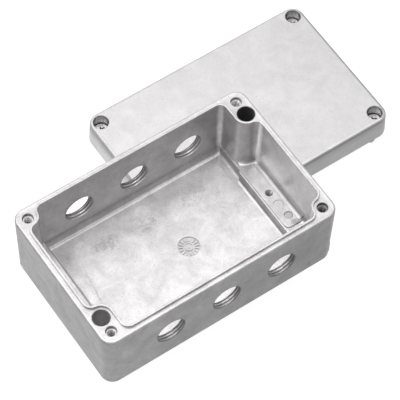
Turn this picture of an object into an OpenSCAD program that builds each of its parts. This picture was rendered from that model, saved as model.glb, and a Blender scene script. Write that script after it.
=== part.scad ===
// Die cast aluminium box, 125 x 80 x 54 mm closed, shown open: the base stands
// on the flat of its lid, and the lid stands on the tips of its captive screws.
// Millimetres, +Z up. The origin is the centre of the footprint, under the screw tips.

/* [Outside] */
// Length over the short walls, at the rim
box_l = 125; // [118:1:160]
// Width over the long walls, at the rim
box_w = 80; // [76:1:110]
// Radius of the four upright corners
corner_r = 6; // [5:0.5:8]
// Height of the base, from its underside to the rim
base_h = 40; // [36:1:60]
// How far each outer wall of the base leans in towards the underside
base_draft = 0.5; // [0.2:0.1:0.9]
// Rounding round the underside of the base
under_edge_r = 1.8; // [1:0.1:2.4]
// Rounding along the outer edge of the rim
rim_edge_r = 1.1; // [0.6:0.1:1.4]

/* [Walls and floor] */
// Wall thickness at the rim
wall = 3.6; // [3.2:0.1:4.4]
// Thickness of the floor
floor_t = 3.5; // [2.5:0.1:4.5]
// How far each inner wall leans in towards the floor
cavity_draft = 0.6; // [0.2:0.1:1.2]
// Fillet between the floor and the walls
floor_fillet = 3; // [2:0.5:4]
// Fillet where a corner boss runs into a wall
boss_fillet = 4.5; // [3:0.5:5]

/* [Sealing lip and gasket] */
// Width of the raised lip that runs round the cavity
lip_w = 1.1; // [0.8:0.1:1.4]
// Height of the lip over the rim
lip_h = 1.5; // [1:0.1:2]
// Room between the lip and each side of the groove in the lid
groove_gap = 0.3; // [0.2:0.05:0.4]
// Depth of the groove in the lid
groove_d = 3.2; // [2.8:0.1:4]
// Thickness of the gasket cord at the bottom of the groove
gasket_t = 2; // [1.5:0.1:2.4]
// Wall of the lid inside the groove
groove_inner_wall = 1.4; // [1:0.1:2]

/* [Lid] */
// Thickness of the lid over all
lid_h = 14; // [12:0.5:20]
// How far each outer wall of the lid leans in towards the top
lid_draft = 0.45; // [0.15:0.1:0.75]
// Rounding round the top of the lid
lid_top_edge_r = 1.4; // [0.8:0.1:2]
// Rounding along the lower outer edge of the lid
lid_low_edge_r = 0.6; // [0.3:0.1:1]
// Thickness of the flat top of the lid
lid_top_t = 3.5; // [2.5:0.1:4.5]

/* [Lid screws] */
// Distance of each lid screw from the outside of both walls next to it
screw_inset = 6; // [5.6:0.1:6.4]
// Diameter of the counterbore for a screw head
counterbore_d = 7.5; // [7.3:0.1:8]
// Thickness of the lid under a screw head
flange_t = 4.5; // [3:0.5:6]
// Thread diameter of a lid screw
screw_d = 4; // [3.8:0.1:4.2]
// Hole that is drilled for the thread, in the lid and in the base
tap_d = 3.3; // [3.2:0.05:3.4]
// Radial play of the slim shank in the hole of the lid
shank_gap = 0.1; // [0.05:0.01:0.1]
// How far a captive screw can rise before its thread meets the lid
captive_play = 0.4; // [0.2:0.1:1]
// Length of a lid screw under its head
screw_l = 16; // [14:1:20]
// Diameter of a screw head
head_d = 7; // [6.5:0.1:7.1]
// Height of a screw head
head_h = 2.8; // [2.4:0.1:3.2]
// Width across the arms of the cross recess
recess_w = 4.2; // [3.6:0.1:4.6]
// Depth of the cross recess
recess_d = 1.8; // [1.2:0.1:2]
// Mouth of a screw hole in the base
mouth_d = 5; // [4.4:0.1:5.6]
// Depth of that mouth
mouth_t = 1.6; // [1:0.1:3]
// Depth of a screw hole in the base
screw_hole_depth = 16; // [15:1:22]
// Land round a screw hole, up to the sealing lip
small_boss_r = 4; // [3.8:0.1:4.6]

/* [Fixing wells] */
// Distance between a well and the lid screw next to it, across the box
well_step = 8; // [7:0.5:10]
// Diameter of a well
well_d = 8.2; // [7.6:0.1:8.6]
// Land round a well, up to the sealing lip
well_boss_r = 5.1; // [4.9:0.1:5.6]
// Thickness under the head of a fixing screw
well_seat_t = 6; // [4:0.5:8]
// Diameter of the fixing hole
fixing_d = 4.5; // [4.2:0.1:5]

/* [End shelves] */
// Depth of a shelf along the floor, measured from the outside of the box
shelf_l = 14.8; // [13:0.1:17]
// Height of a shelf over the floor
shelf_h = 4.5; // [3.5:0.5:6]
// How far the face of a shelf leans back
shelf_draft = 0.3; // [0.2:0.1:1]
// How far a shelf steps back in front of its well boss
shelf_step = 1.2; // [0.8:0.1:2]
// Distance of that step from the outside of the long wall next to the boss
shelf_step_inset = 22; // [20:0.5:24]
// Height of the raised pad on a shelf
pad_h = 1; // [0.5:0.1:1.5]
// Narrow land between the face of a shelf and its pad
pad_margin = 0.8; // [0.4:0.1:1.6]
// Distance of each end of the pad from the outside of the long wall next to it
pad_inset = 20; // [18:0.5:24]
// How far the pad sits off the middle, away from the well
pad_shift = 0.5; // [0:0.1:1.5]
// Corner radius of the pad
pad_corner_r = 2.5; // [1:0.5:4]
// Distance of the earth hole from the end of the box
earth_inset = 9.6; // [8.5:0.1:10.5]
// Depth of the earth hole
earth_depth = 6.5; // [5:0.5:7]

/* [Cable entries] */
// Hole that is drilled for the 16 mm thread of a cable entry
entry_d = 14.5; // [14.4:0.1:15]
// Thread diameter of a cable entry
entry_thread_d = 16; // [15.8:0.1:16.2]
// Distance between neighbouring cable entries
entry_pitch = 30; // [26:1:31]
// How far the row of entries sits off the middle of the box
entry_shift = 1.4; // [0:0.1:2]
// Height of the entries over the underside
entry_z = 20; // [18:0.5:24]

/* [Stack] */
// How much of the base's length stands over the lid
overlap_l = 56.5; // [40:0.5:80]
// How much of the base's width stands over the lid
overlap_w = 33; // [30:0.5:60]

/* [Hidden] */

cast_colour = [0.80, 0.80, 0.80];
gasket_colour = [0.12, 0.12, 0.12];
screw_colour = [0.72, 0.72, 0.70];

// Cuts run past a face, and joined pieces reach into each other, by this much
past = 0.6;
post_fn = 32;
round_fn = 64;

land_w = wall - lip_w;
screw_x = box_l / 2 - screw_inset;
screw_y = box_w / 2 - screw_inset;
well_y = screw_y - well_step;
pad_l = box_w - 2 * pad_inset;
step_y = box_w / 2 - shelf_step_inset;
stack_x = box_l - overlap_l;
stack_y = box_w - overlap_w;
// A post of the cavity keeps a core of this radius within its foot fillet
post_core = 0.4;
cavity_corner_r = floor_fillet + cavity_draft + post_core;
// Bosses and shelves reach this far into the walls
root = 2;
entry_chamfer = (entry_thread_d - entry_d) / 2;
// Where the drafted long wall's outer face stands at the height of the entries
entry_face_y = box_w / 2 - base_draft * (1 - entry_z / base_h);
mouth_chamfer = (screw_d - tap_d) / 2;

shank_d = tap_d - 2 * shank_gap;
shank_l = flange_t + captive_play;
tip_chamfer = 0.8;

// Heights of the lid's mating face and of the base's underside over the screw tips
lid_z = screw_l - shank_l;
base_z = lid_z + lid_h;

// Where the right-hand edge of each shelf starts
shelf_x = box_l / 2 - shelf_l;
shelf_top = floor_t + shelf_h;

// Points of an arc from one angle to another
function arc(centre, r, a0, a1, steps = 6) =
    [for (i = [0:steps]) let (a = a0 + (a1 - a0) * i / steps) centre + r * [cos(a), sin(a)]];

// A turned corner post: its radius goes from r0 to r1, with a rounded foot and head
module post(r0, r1, h, foot_r, head_r) {
    head = head_r > 0 ? arc([r1 - head_r, h - head_r], head_r, 0, 90) : [[r1, h]];
    rotate_extrude($fn = post_fn)
        polygon(concat([[0, 0]], arc([r0 - foot_r, foot_r], foot_r, -90, 0), head, [[0, h]]));
}

// A block with drafted sides and rounded edges, spanned between four corner posts
module drafted_block(inset, corner, draft_low, draft_high, h, foot_r, head_r) {
    x = box_l / 2 - inset - corner;
    y = box_w / 2 - inset - corner;
    hull()
        for (sx = [-1, 1], sy = [-1, 1])
            translate([sx * x, sy * y, 0])
                post(corner - draft_low, corner - draft_high, h, foot_r, head_r);
}

// The outline of the box, drawn in by inset
module plan(inset) {
    r = corner_r - inset;
    offset(r = r, $fn = round_fn)
        square([box_l - 2 * corner_r, box_w - 2 * corner_r], center = true);
}

// The land round a fixing well and the lid screw next to it
module well_land() {
    translate([0, well_y]) circle(r = well_boss_r, $fn = round_fn);
    translate([-well_boss_r, well_y]) square([2 * well_boss_r, well_step + well_boss_r]);
}

// The line that the sealing lip follows: all that lies inside its outer side
module seal_region() {
    offset(r = boss_fillet, $fn = round_fn) offset(r = -boss_fillet, $fn = round_fn)
        difference() {
            square([box_l - 2 * land_w, box_w - 2 * land_w], center = true);
            for (side = [-1, 1]) {
                translate([side * screw_x, -side * screw_y])
                    circle(r = small_boss_r, $fn = round_fn);
                scale([side, side]) translate([screw_x, 0]) well_land();
            }
        }
}

// The same region drawn in, or out where the distance is negative
module seal_inset(distance) {
    offset(r = -distance, $fn = round_fn) seal_region();
}

module at_screws() {
    for (sx = [-1, 1], sy = [-1, 1])
        translate([sx * screw_x, sy * screw_y, 0]) children();
}

module at_wells() {
    for (side = [-1, 1])
        translate([side * screw_x, side * well_y, 0]) children();
}

module at_entries() {
    for (i = [-1:1], side = [0, 180])
        translate([entry_shift + i * entry_pitch, 0, entry_z])
            rotate([90, 0, side]) children();
}

// A tapped hole that points down from the origin, with a chamfered mouth
module tapped_hole(depth) {
    translate([0, 0, -depth]) cylinder(d = tap_d, h = depth + past, $fn = round_fn);
    translate([0, 0, -mouth_chamfer])
        cylinder(d1 = tap_d, d2 = tap_d + 4 * mouth_chamfer, h = 2 * mouth_chamfer, $fn = round_fn);
}

// The four corner bosses, as columns that run into the walls
module boss_columns() {
    translate([0, 0, floor_t - past])
        linear_extrude(base_h - floor_t + past)
            difference() {
                plan(root);
                seal_inset(lip_w);
            }
}

// The step along one short wall, with its raised pad
module shelf() {
    foot_r = 1.8;
    end = box_l / 2 - root;
    face = [[shelf_x + shelf_draft, shelf_top], [end, shelf_top], [end, floor_t - past],
        [shelf_x - foot_r, floor_t - past]];
    foot = arc([shelf_x - foot_r, floor_t + foot_r], foot_r, 270, 360);
    clear_x = shelf_x - 2 * foot_r;
    step_x = shelf_x + shelf_step;
    difference() {
        rotate([90, 0, 0])
            linear_extrude(box_w - 2 * root, center = true)
                polygon(concat(foot, face));
        translate([0, 0, floor_t - past / 2])
            linear_extrude(shelf_h + past)
                polygon([[clear_x, step_y], [shelf_x, step_y - shelf_step], [step_x, step_y],
                    [step_x, box_w / 2], [clear_x, box_w / 2]]);
    }
    pad_x = shelf_x + shelf_draft + pad_margin;
    translate([pad_x, -pad_shift - pad_l / 2, shelf_top - past])
        linear_extrude(pad_h + past)
            translate([pad_corner_r, pad_corner_r])
                offset(r = pad_corner_r, $fn = round_fn)
                    square([end - pad_x - 2 * pad_corner_r, pad_l - 2 * pad_corner_r]);
}

// The sealing lip on the rim
module lip() {
    translate([0, 0, base_h - past])
        linear_extrude(lip_h + past)
            difference() {
                seal_region();
                seal_inset(lip_w);
            }
}

module base_casting() {
    difference() {
        union() {
            difference() {
                drafted_block(0, corner_r, base_draft, 0, base_h, under_edge_r, rim_edge_r);
                translate([0, 0, floor_t])
                    drafted_block(wall, cavity_corner_r, cavity_draft, 0,
                        base_h - floor_t, floor_fillet, 0);
                translate([0, 0, base_h - past / 2])
                    linear_extrude(past) seal_inset(lip_w);
            }
            boss_columns();
            shelf();
            rotate(180) shelf();
            lip();
        }
        at_screws() translate([0, 0, base_h]) {
            tapped_hole(screw_hole_depth);
            translate([0, 0, -mouth_t]) cylinder(d = mouth_d, h = mouth_t + past, $fn = round_fn);
        }
        at_wells() {
            translate([0, 0, -past])
                cylinder(d = fixing_d, h = well_seat_t + 2 * past, $fn = round_fn);
            translate([0, 0, well_seat_t])
                cylinder(d = well_d, h = base_h, $fn = round_fn);
        }
        at_entries() {
            translate([0, 0, box_w / 2 - wall - past - cavity_draft])
                cylinder(d = entry_d, h = wall + 2 * past + cavity_draft, $fn = round_fn);
            translate([0, 0, entry_face_y - entry_chamfer])
                cylinder(d1 = entry_d, d2 = entry_d + 4 * entry_chamfer,
                    h = 2 * entry_chamfer, $fn = round_fn);
        }
        translate([box_l / 2 - earth_inset, 0, shelf_top + pad_h]) tapped_hole(earth_depth);
    }
}

module lid_casting() {
    pocket_inset = lip_w + groove_gap + groove_inner_wall;
    pocket_r = floor_fillet + cavity_draft;
    difference() {
        drafted_block(0, corner_r, 0, lid_draft, lid_h, lid_low_edge_r, lid_top_edge_r);
        intersection() {
            translate([0, 0, -past])
                linear_extrude(lid_h - lid_top_t + past) seal_inset(pocket_inset);
            translate([0, 0, lid_h - lid_top_t]) mirror([0, 0, 1])
                drafted_block(land_w + pocket_inset, pocket_r + past, cavity_draft, 0,
                    lid_h - lid_top_t + past, floor_fillet, 0);
        }
        translate([0, 0, -past])
            linear_extrude(groove_d + past)
                difference() {
                    seal_inset(-groove_gap);
                    seal_inset(lip_w + groove_gap);
                }
        at_screws() {
            translate([0, 0, -past]) cylinder(d = tap_d, h = lid_h, $fn = round_fn);
            translate([0, 0, flange_t]) cylinder(d = counterbore_d, h = lid_h, $fn = round_fn);
        }
    }
}

// A captive screw: its thread's shoulder is at the origin, and its tip points down
module lid_screw() {
    tip_z = shank_l - screw_l;
    difference() {
        union() {
            translate([0, 0, tip_z])
                cylinder(d1 = screw_d - 2 * tip_chamfer, d2 = screw_d, h = tip_chamfer,
                    $fn = round_fn);
            translate([0, 0, tip_z + tip_chamfer])
                cylinder(d = screw_d, h = -tip_z - tip_chamfer, $fn = round_fn);
            cylinder(d = shank_d, h = shank_l, $fn = round_fn);
            translate([0, 0, shank_l]) cylinder(d = head_d, h = head_h, $fn = round_fn);
        }
        for (turn = [0, 90])
            rotate(turn)
                translate([-recess_w / 2, -0.5, shank_l + head_h - recess_d])
                    cube([recess_w, 1, recess_d + past]);
    }
}

module place_base() {
    translate([-stack_x / 2, -stack_y / 2, base_z]) children();
}

module place_lid() {
    translate([stack_x / 2, stack_y / 2, lid_z]) children();
}

module base() {
    color(cast_colour) place_base() base_casting();
}

module lid() {
    color(cast_colour) place_lid() lid_casting();
}

module lid_gasket() {
    color(gasket_colour) place_lid()
        translate([0, 0, groove_d - gasket_t])
            linear_extrude(gasket_t)
                difference() {
                    seal_inset(-groove_gap);
                    seal_inset(lip_w + groove_gap);
                }
}

module placed_screw(side_x, side_y) {
    color(screw_colour) place_lid()
        translate([side_x * screw_x, side_y * screw_y, 0]) lid_screw();
}

base();
lid();
lid_gasket();
placed_screw(-1, -1);  // lid_screw_front_left
placed_screw(1, -1);  // lid_screw_front_right
placed_screw(-1, 1);  // lid_screw_back_left
placed_screw(1, 1);  // lid_screw_back_right
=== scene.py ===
"""Die cast aluminium box, shown open: the base stands on the flat of its lid.

The castings, the lid screws and the gasket are modelled in millimetres, each in its own
frame, and settled into the shared frame in metres. The base's frame has its origin in the
middle of its underside. The lid's frame has its origin in the middle of its mating face.
"""

import logging
import math
from collections.abc import Callable, Iterator, Sequence
from contextlib import contextmanager
from dataclasses import dataclass, field, replace
from enum import Enum

import bmesh
import bpy
from mathutils import Matrix, Vector


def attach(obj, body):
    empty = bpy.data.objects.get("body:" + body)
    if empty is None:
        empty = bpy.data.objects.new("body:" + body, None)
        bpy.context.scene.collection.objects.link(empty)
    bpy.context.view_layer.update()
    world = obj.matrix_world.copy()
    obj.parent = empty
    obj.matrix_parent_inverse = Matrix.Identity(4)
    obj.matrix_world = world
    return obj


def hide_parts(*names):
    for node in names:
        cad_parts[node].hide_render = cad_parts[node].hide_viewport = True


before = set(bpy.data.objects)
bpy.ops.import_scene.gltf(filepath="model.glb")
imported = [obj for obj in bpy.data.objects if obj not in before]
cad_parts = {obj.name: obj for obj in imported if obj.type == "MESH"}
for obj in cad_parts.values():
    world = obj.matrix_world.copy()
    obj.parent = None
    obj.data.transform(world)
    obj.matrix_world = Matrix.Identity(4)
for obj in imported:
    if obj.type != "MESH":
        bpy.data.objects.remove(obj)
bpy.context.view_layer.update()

LOG = logging.getLogger("die_cast_box")
# A millimetre in metres
MM = 0.001
# Cuts run past a face, and joined pieces reach into each other, by this many millimetres
PAST = 0.6
# Lengths that differ by less than this count as the same
SAME = 0.001
# Edges that turn by more than this stay sharp
SMOOTH_ANGLE = math.radians(32)

Point = tuple[float, float]
Place = tuple[float, float, float]
Colour = tuple[float, float, float]
# A height and a radius, or a rise and a move inwards
Level = tuple[float, float]
Value = bpy.types.NodeSocket | float


class Join(Enum):
    """How one solid acts on another."""

    ADD = "UNION"
    CUT = "DIFFERENCE"
    COMMON = "INTERSECT"


class Slot(Enum):
    """The record's material slots."""

    CASTING = "cast_aluminium"
    GASKET = "gasket_rubber"
    SCREW = "screw_steel"


# Modelling


def deselect() -> None:
    """Leave nothing selected."""
    for thing in bpy.context.selected_objects:
        thing.select_set(False)


def quarter(radius: float, steps: int = 4) -> list[Level]:
    """Steps of a quarter round that turns from a wall into the flat above it.

    Args:
        radius: Radius of the rounding.
        steps: How many facets it gets.

    Returns:
        Pairs of a rise and a move inwards, one for each facet.
    """
    turns = [math.pi / 2 * i / steps for i in range(steps + 1)]
    return [
        (radius * (math.sin(b) - math.sin(a)), radius * (math.cos(a) - math.cos(b)))
        for a, b in zip(turns, turns[1:])
    ]


def cove(radius: float, steps: int = 4) -> list[Level]:
    """Steps of a hollow quarter round that turns from a flat into the wall above it.

    Args:
        radius: Radius of the hollow.
        steps: How many facets it gets.

    Returns:
        Pairs of a rise and a move inwards, one for each facet.
    """
    return [(inward, rise) for rise, inward in quarter(radius, steps)]


class Solid:
    """A closed mesh under work, in millimetres."""

    def __init__(self, name: str) -> None:
        """Take over the active object, with its place in its mesh, and name it."""
        bpy.ops.object.transform_apply(location=True, rotation=True, scale=True)
        self.obj = bpy.context.view_layer.objects.active
        self.obj.name = name

    @classmethod
    def block(cls, name: str, low: Sequence[float], high: Sequence[float]) -> "Solid":
        """Add a block between two corners.

        Args:
            name: Name of the new piece.
            low: Its lowest corner.
            high: Its highest corner.

        Returns:
            The block.
        """
        deselect()
        middle = [(a + b) / 2 for a, b in zip(low, high)]
        size = [b - a for a, b in zip(low, high)]
        bpy.ops.mesh.primitive_cube_add(size=1, location=middle, scale=size)
        return cls(name)

    @classmethod
    def sketch(cls, name: str, outline: Sequence[Point], height: float) -> "Solid":
        """Add a flat face with a given outline, ready to be drawn up into a solid.

        Args:
            name: Name of the new piece.
            outline: Corners of the face, one way round.
            height: Where the face lies.

        Returns:
            The face, which looks up.
        """
        deselect()
        bpy.ops.mesh.primitive_circle_add(vertices=len(outline), fill_type="NGON")
        solid = cls(name)
        for vertex, (x, y) in zip(solid.obj.data.vertices, outline):
            vertex.co = (x, y, height)
        with solid.editing() as mesh:
            for face in mesh.faces:
                face.normal_update()
                if face.normal.z < 0:
                    face.normal_flip()
        return solid

    @classmethod
    def turned(cls, name: str, levels: Sequence[Level], sides: int = 48) -> "Solid":
        """Draw a turned solid up along its axis, ring by ring.

        Args:
            name: Name of the new piece.
            levels: Height and radius of each ring, from the bottom.
            sides: How many facets go round.

        Returns:
            The turned solid, on the Z axis.
        """
        deselect()
        (height, radius), rest = levels[0], levels[1:]
        bpy.ops.mesh.primitive_circle_add(
            vertices=sides, radius=radius, fill_type="NGON", location=(0, 0, height)
        )
        solid = cls(name)
        with solid.editing() as mesh:
            for face in mesh.faces:
                face.select_set(True)
            for level, ring in rest:
                rise = {"value": (0, 0, level - height)}
                bpy.ops.mesh.extrude_region_move(TRANSFORM_OT_translate=rise)
                scale = ring / radius
                bpy.ops.transform.resize(value=(scale, scale, 1), center_override=(0, 0, 0))
                height, radius = level, ring
            bpy.ops.mesh.select_all(action="SELECT")
            bpy.ops.mesh.normals_make_consistent(inside=False)
        return solid

    @contextmanager
    def editing(self) -> Iterator[bmesh.types.BMesh]:
        """Open the mesh in edit mode with nothing selected, and close it afterwards."""
        deselect()
        bpy.context.view_layer.objects.active = self.obj
        self.obj.select_set(True)
        bpy.ops.object.mode_set(mode="EDIT")
        bpy.ops.mesh.select_mode(type="FACE")
        bpy.ops.mesh.select_all(action="DESELECT")
        mesh = bmesh.from_edit_mesh(self.obj.data)
        yield mesh
        bpy.ops.object.mode_set(mode="OBJECT")

    def draw_up(self, steps: Sequence[Level]) -> "Solid":
        """Pull the face that a sketch left, step by step.

        Args:
            steps: Rise and move inwards of each step. The first one has no move inwards.

        Returns:
            This solid, closed.
        """
        with self.editing() as mesh:
            for face in mesh.faces:
                face.select_set(True)
            for rise, inward in steps:
                if inward:
                    bpy.ops.mesh.inset(thickness=inward, depth=rise, use_even_offset=True)
                else:
                    move = {"value": (0, 0, rise)}
                    bpy.ops.mesh.extrude_region_move(TRANSFORM_OT_translate=move)
            bpy.ops.mesh.select_all(action="SELECT")
            bpy.ops.mesh.normals_make_consistent(inside=False)
        return self

    def lean(self, height: float, inward: float) -> "Solid":
        """Draw the corners at one height in, to give the sides their draft.

        Args:
            height: Height of the corners.
            inward: How far each side moves in there.

        Returns:
            This solid.
        """
        half = [side / 2 for side in self.obj.dimensions]
        scale = (1 - inward / half[0], 1 - inward / half[1], 1)
        with self.editing() as mesh:
            for face in mesh.faces:
                if all(abs(v.co.z - height) < SAME for v in face.verts):
                    face.select_set(True)
            bpy.ops.transform.resize(value=scale, center_override=(0, 0, 0))
        return self

    def round_edges(
        self, wanted: Callable[[Vector, Vector], bool], radius: float, segments: int
    ) -> "Solid":
        """Round the edges that a test picks.

        Args:
            wanted: Says of an edge's two ends whether the edge is rounded.
            radius: Radius of the rounding.
            segments: How many facets it gets.

        Returns:
            This solid.
        """
        with self.editing() as mesh:
            bpy.ops.mesh.select_mode(type="EDGE")
            mesh = bmesh.from_edit_mesh(self.obj.data)
            for edge in mesh.edges:
                if wanted(edge.verts[0].co, edge.verts[1].co):
                    edge.select_set(True)
            bmesh.update_edit_mesh(self.obj.data)
            bpy.ops.mesh.bevel(offset=radius, segments=segments, affect="EDGES")
        return self

    def round_at(self, height: float, radius: float, segments: int = 5) -> "Solid":
        """Round all the edges that lie at one height."""
        return self.round_edges(
            lambda a, b: max(abs(a.z - height), abs(b.z - height)) < SAME, radius, segments
        )

    def round_corners(self, radius: float, segments: int = 12) -> "Solid":
        """Round the four upright corners of a block."""
        return self.round_edges(lambda a, b: abs(a.z - b.z) > radius, radius, segments)

    def move(self, turn: Matrix | None = None, to: Sequence[float] = (0, 0, 0)) -> "Solid":
        """Turn the mesh about the origin, then move it."""
        self.obj.data.transform(Matrix.Translation(to) @ (turn or Matrix.Identity(4)))
        return self

    def copy(self, turn: Matrix | None = None, to: Sequence[float] = (0, 0, 0)) -> "Solid":
        """Copy the piece with its own mesh, then turn and move the copy."""
        deselect()
        twin = self.obj.copy()
        twin.data = self.obj.data.copy()
        bpy.context.collection.objects.link(twin)
        twin.select_set(True)
        bpy.context.view_layer.objects.active = twin
        return Solid(self.obj.name + "_copy").move(turn, to)

    def outwards(self) -> "Solid":
        """Point all the faces outwards again."""
        with self.editing():
            bpy.ops.mesh.select_all(action="SELECT")
            bpy.ops.mesh.normals_make_consistent(inside=False)
        return self

    def take(self, other: "Solid", how: Join) -> "Solid":
        """Add, cut or cross this solid with another one, which is used up.

        Args:
            other: The second solid.
            how: What becomes of it.

        Returns:
            This solid.
        """
        deselect()
        bpy.context.view_layer.objects.active = self.obj
        self.obj.select_set(True)
        modifier = self.obj.modifiers.new("join", "BOOLEAN")
        modifier.operation = how.value
        modifier.solver = "MANIFOLD"
        modifier.object = other.obj
        bpy.ops.object.modifier_apply(modifier=modifier.name)
        other.drop()
        return self

    def drop(self) -> None:
        """Remove the piece."""
        mesh = self.obj.data
        bpy.data.objects.remove(self.obj)
        bpy.data.meshes.remove(mesh)

    def settle(
        self,
        origin: Sequence[float],
        material: bpy.types.Material,
        slot: Slot,
        node: str,
        body: str = "box",
    ) -> bpy.types.Object:
        """Put the finished mesh in its place in metres, dress it and hand it over.

        Args:
            origin: Where the piece's own origin lies, in millimetres.
            material: Its finish.
            slot: The record's slot for that finish; not used.
            node: The CAD node that the piece stands for.
            body: The CAD body that it moves with.

        Returns:
            The finished object.
        """
        deselect()
        bpy.context.view_layer.objects.active = self.obj
        self.obj.select_set(True)
        self.obj.data.transform(Matrix.Scale(MM, 4) @ Matrix.Translation(origin))
        bpy.ops.object.shade_smooth_by_angle(angle=SMOOTH_ANGLE)
        modifier = self.obj.modifiers.new("flat_faces_first", "WEIGHTED_NORMAL")
        modifier.keep_sharp = True
        modifier.weight = 100
        bpy.ops.object.modifier_apply(modifier=modifier.name)
        self.obj.data.materials.clear()
        self.obj.data.materials.append(material)
        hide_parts(node)
        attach(self.obj, body)
        LOG.info("%s: %d faces", self.obj.name, len(self.obj.data.polygons))
        return self.obj


@dataclass(frozen=True)
class Thread:
    """A screw thread.

    Attributes:
        minor: Smaller radius, that of the hole or rod before it gets the thread.
        major: Larger radius.
        pitch: Distance between neighbouring turns.
        per_turn: How many rings of the mesh a turn gets.
        flat: Share of the pitch that lies flat at the larger radius.
        flank: Share of the pitch over which the thread rises.
        run_out: Share of the pitch over which it starts and ends.
    """

    minor: float
    major: float
    pitch: float
    per_turn: int = 8
    flat: float = 0.25
    flank: float = 1 / 3
    run_out: float = 0.5

    def rings(self, low: float, high: float) -> list[Level]:
        """Levels for a turned solid, close enough to carry the thread between two heights."""
        count = math.ceil((high - low) / self.pitch * self.per_turn)
        return [(low + (high - low) * i / count, self.minor) for i in range(count + 1)]

    def cut_into(self, solid: Solid, low: float, high: float) -> Solid:
        """Give a turned solid its thread.

        Args:
            solid: The turned solid, with rings at the minor radius.
            low: Where the thread starts.
            high: Where it ends.

        Returns:
            The same solid.
        """
        for vertex in solid.obj.data.vertices:
            x, y, z = vertex.co
            radius = math.hypot(x, y)
            if not (low < z < high and abs(radius - self.minor) < 10 * SAME):
                continue
            phase = (z / self.pitch - math.atan2(y, x) / math.tau) % 1
            height = min(1.0, max(0.0, 1 + (self.flat / 2 - abs(phase - 0.5)) / self.flank))
            fade = min(1.0, min(z - low, high - z) / (self.run_out * self.pitch))
            new = self.minor + (self.major - self.minor) * height * fade
            vertex.co.x, vertex.co.y = x * new / radius, y * new / radius
        return solid


@dataclass(frozen=True)
class SealLine:
    """The line that the sealing lip, its groove and the gasket follow.

    Attributes:
        half_x: Half the length inside the land, at the outer side of the lip.
        half_y: Half the width there.
        screw: Centre of a lid screw.
        boss_r: Land round a screw.
        well_y: Where the fixing well lies across the box.
        well_r: Land round a well.
        fillet: Fillet between a boss and a wall.
    """

    half_x: float = 60.0
    half_y: float = 37.5
    screw: Point = (56.5, 34.0)
    boss_r: float = 4.0
    well_y: float = 26.0
    well_r: float = 5.1
    fillet: float = 4.5

    def outline(self, inset: float, arc_steps: int = 9) -> list[Point]:
        """The line, drawn in by a distance or out by a negative one.

        Args:
            inset: The distance.
            arc_steps: How many facets each arc gets.

        Returns:
            The points of the closed line, anticlockwise from the front right corner.
        """
        small = self._small_corner(inset, arc_steps)
        well = self._well_corner(inset, arc_steps)
        corners = [(1, -1, small), (1, 1, well), (-1, 1, small), (-1, -1, well)]
        points: list[Point] = []
        for side_x, side_y, corner in corners:
            placed = [(side_x * x, side_y * y) for x, y in corner]
            points += placed[::-1] if side_x * side_y < 0 else placed
        return points

    def _arc(
        self, centre: Point, radius: float, start: float, end: float, steps: int
    ) -> list[Point]:
        """Points of an arc from one angle to another, in radians."""
        return [
            (centre[0] + radius * math.cos(a), centre[1] + radius * math.sin(a))
            for a in (start + (end - start) * i / steps for i in range(steps + 1))
        ]

    def _small_corner(self, inset: float, steps: int) -> list[Point]:
        """The line round a lid screw in the corner where x and y are positive.

        Args:
            inset: How far the line is drawn in.
            steps: How many facets each arc gets.

        Returns:
            The points from the short wall to the long wall.
        """
        wall_x, wall_y = self.half_x - inset, self.half_y - inset
        rho, boss = self.fillet - inset, self.boss_r + inset
        cx, cy = self.screw
        foot_y = cy - math.sqrt((boss + rho) ** 2 - (cx - wall_x + rho) ** 2)
        foot_x = cx - math.sqrt((boss + rho) ** 2 - (cy - wall_y + rho) ** 2)
        first, last = (wall_x - rho, foot_y), (foot_x, wall_y - rho)
        a = math.atan2(cy - first[1], cx - first[0])
        b = math.atan2(cy - last[1], cx - last[0])
        return (
            self._arc(first, rho, 0, a, steps)
            + self._arc(self.screw, boss, a - math.pi, b - math.pi, steps * 2)[1:-1]
            + self._arc(last, rho, b, math.pi / 2, steps)
        )

    def _well_corner(self, inset: float, steps: int) -> list[Point]:
        """The line round a well and its lid screw in the corner where x and y are positive.

        Args:
            inset: How far the line is drawn in.
            steps: How many facets each arc gets.

        Returns:
            The points from the short wall to the long wall.
        """
        wall_x, wall_y = self.half_x - inset, self.half_y - inset
        rho, boss = self.fillet - inset, self.well_r + inset
        cx, cy = self.screw[0], self.well_y
        foot_y = cy - math.sqrt((boss + rho) ** 2 - (cx - wall_x + rho) ** 2)
        first = (wall_x - rho, foot_y)
        a = math.atan2(cy - first[1], cx - first[0])
        side = cx - boss
        return (
            self._arc(first, rho, 0, a, steps)
            + self._arc((cx, cy), boss, a - math.pi, -math.pi, steps * 2)[1:]
            + self._arc((side - rho, wall_y - rho), rho, 0, math.pi / 2, steps)
        )


# Finishes


def link(
    tree: bpy.types.NodeTree, *pairs: tuple[bpy.types.NodeSocket, bpy.types.NodeSocket]
) -> None:
    """Join pairs of sockets."""
    for out_socket, in_socket in pairs:
        tree.links.new(out_socket, in_socket)


@dataclass(frozen=True)
class GroupSocket:
    """A named socket of a node group.

    Attributes:
        name: Its name.
        kind: Its type.
        out: Whether it is an output.
    """

    name: str
    kind: str = "NodeSocketFloat"
    out: bool = False


def new_group(
    name: str, sockets: Sequence[GroupSocket]
) -> tuple[bpy.types.NodeTree, bpy.types.Node, bpy.types.Node]:
    """Start a node group.

    Args:
        name: Its name.
        sockets: Its sockets, in order.

    Returns:
        The group's tree, its input node and its output node.
    """
    tree = bpy.data.node_groups.new(name, "ShaderNodeTree")
    for socket in sockets:
        tree.interface.new_socket(
            name=socket.name, in_out="OUTPUT" if socket.out else "INPUT", socket_type=socket.kind
        )
    return tree, tree.nodes.new("NodeGroupInput"), tree.nodes.new("NodeGroupOutput")


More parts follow.
